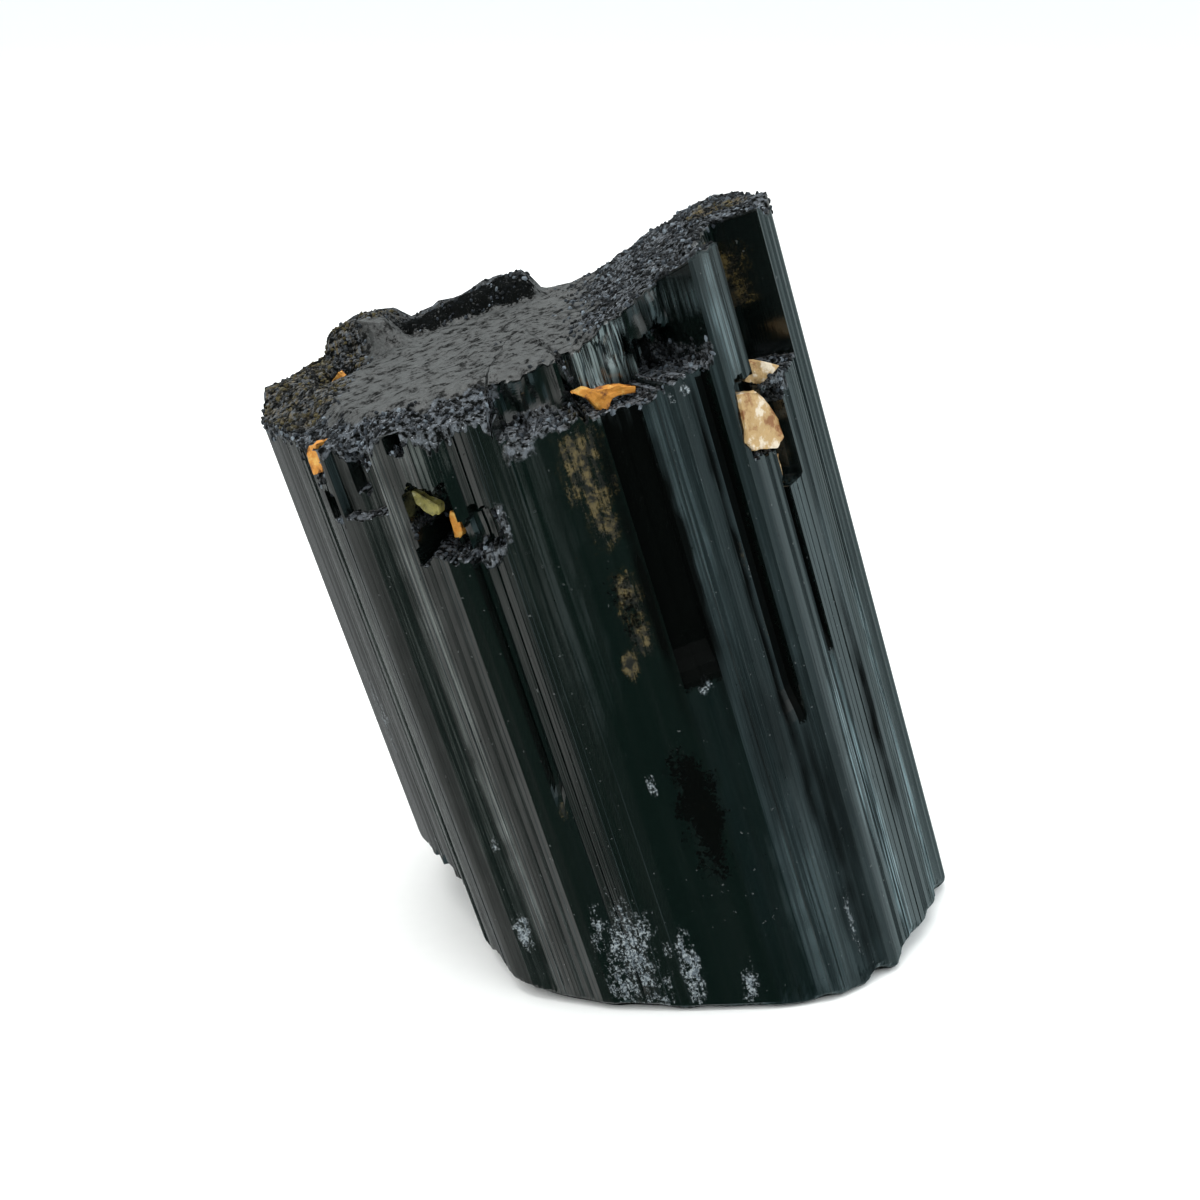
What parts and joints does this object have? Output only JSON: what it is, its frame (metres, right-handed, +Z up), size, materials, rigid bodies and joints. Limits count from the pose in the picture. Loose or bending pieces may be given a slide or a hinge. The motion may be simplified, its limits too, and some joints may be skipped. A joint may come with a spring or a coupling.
{
  "type": "tourmaline crystal",
  "caption": "Stubby black tourmaline crystal, a striated leaning prism with a broken granular top, pitted ledges and small feldspar and ochre grains, standing on a slanting flat foot.",
  "frame": {"origin": "the point where the prism's own axis meets the ground, in the middle of the flat foot", "axes": "+Z up, normal to the foot; the prism leans towards -X; -Y is the side that faces the viewer in the picture"},
  "size_m": [0.0512, 0.0302, 0.0523],
  "materials": {
    "schorl": "glassy black striated faces with a dull granular break",
    "feldspar": "cream to orange-brown, dull",
    "ochre": "earthy orange, dull",
    "mica": "greenish yellow, slightly silky"
  },
  "bodies": {
    "root": {"crystal": "schorl", "feldspar_plate": "feldspar", "feldspar_cap": "feldspar", "feldspar_chip": "feldspar", "ochre_flake_front": "ochre", "ochre_flake_left": "ochre", "ochre_grain_edge": "ochre", "ochre_flake_top": "ochre", "mica_flake_left": "mica"}
  },
  "joints": []
}
